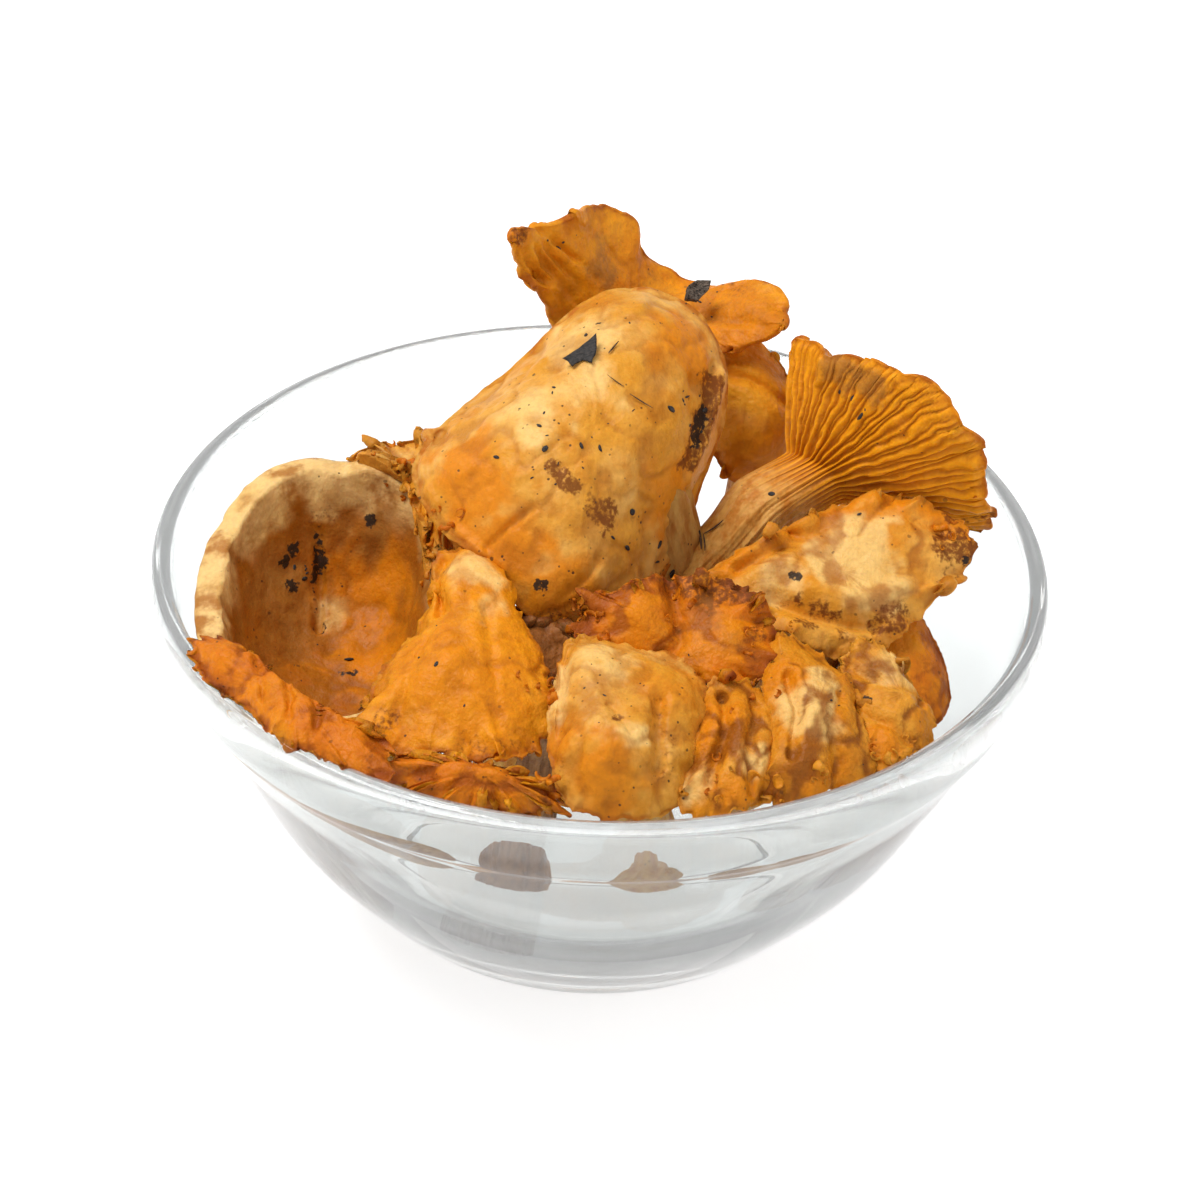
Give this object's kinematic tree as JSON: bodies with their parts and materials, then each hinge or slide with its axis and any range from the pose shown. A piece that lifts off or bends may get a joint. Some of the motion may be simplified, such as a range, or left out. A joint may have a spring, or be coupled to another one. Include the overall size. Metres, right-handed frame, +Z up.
{
  "type": "bowl of chanterelle mushrooms",
  "caption": "Clear round glass kitchen bowl heaped with torn, folded golden chanterelle mushrooms, with scraps of forest litter on the caps.",
  "frame": {"origin": "centre of the foot ring, on the plane the bowl stands on, on the bowl's axis", "axes": "+Z up along the bowl's axis; -Y towards the viewer's side of the heap, where the caps lie lowest; +X to that viewer's right"},
  "size_m": [0.2, 0.2, 0.1478],
  "materials": {
    "clear_glass": "clear tempered glass, polished",
    "cream_flesh": "cream-yellow cap skin, satin and slightly moist",
    "golden_flesh": "golden ribbed flesh, satin",
    "orange_flesh": "deep orange flesh, satin",
    "tan_flesh": "tan-yellow flesh with brown bruises, satin",
    "brown_flesh": "fibrous brown stem flesh, matt",
    "dark_leaf": "rotted black leaf, matt",
    "bark": "grey-brown bark, matt"
  },
  "bodies": {
    "root": {"glass_bowl": "clear_glass", "draped_cap_chanterelle": "cream_flesh", "funnel_chanterelle": "golden_flesh", "horned_chanterelle": "orange_flesh", "rear_smooth_chanterelle": "orange_flesh", "right_slab_chanterelle": "tan_flesh", "orange_lobe_chanterelle": "orange_flesh", "crest_chanterelle": "orange_flesh", "bulb_chanterelle": "cream_flesh", "frilled_chanterelle": "golden_flesh", "split_chanterelle": "cream_flesh", "curled_chanterelle": "cream_flesh", "cup_chanterelle": "tan_flesh", "gilled_strip_chanterelle": "orange_flesh", "tongue_chanterelle": "golden_flesh", "bottom_frill_chanterelle": "orange_flesh", "ruffled_chanterelle": "tan_flesh", "deep_stem_chanterelle": "brown_flesh", "leaf_scrap": "dark_leaf", "bark_chip": "bark"}
  },
  "joints": []
}
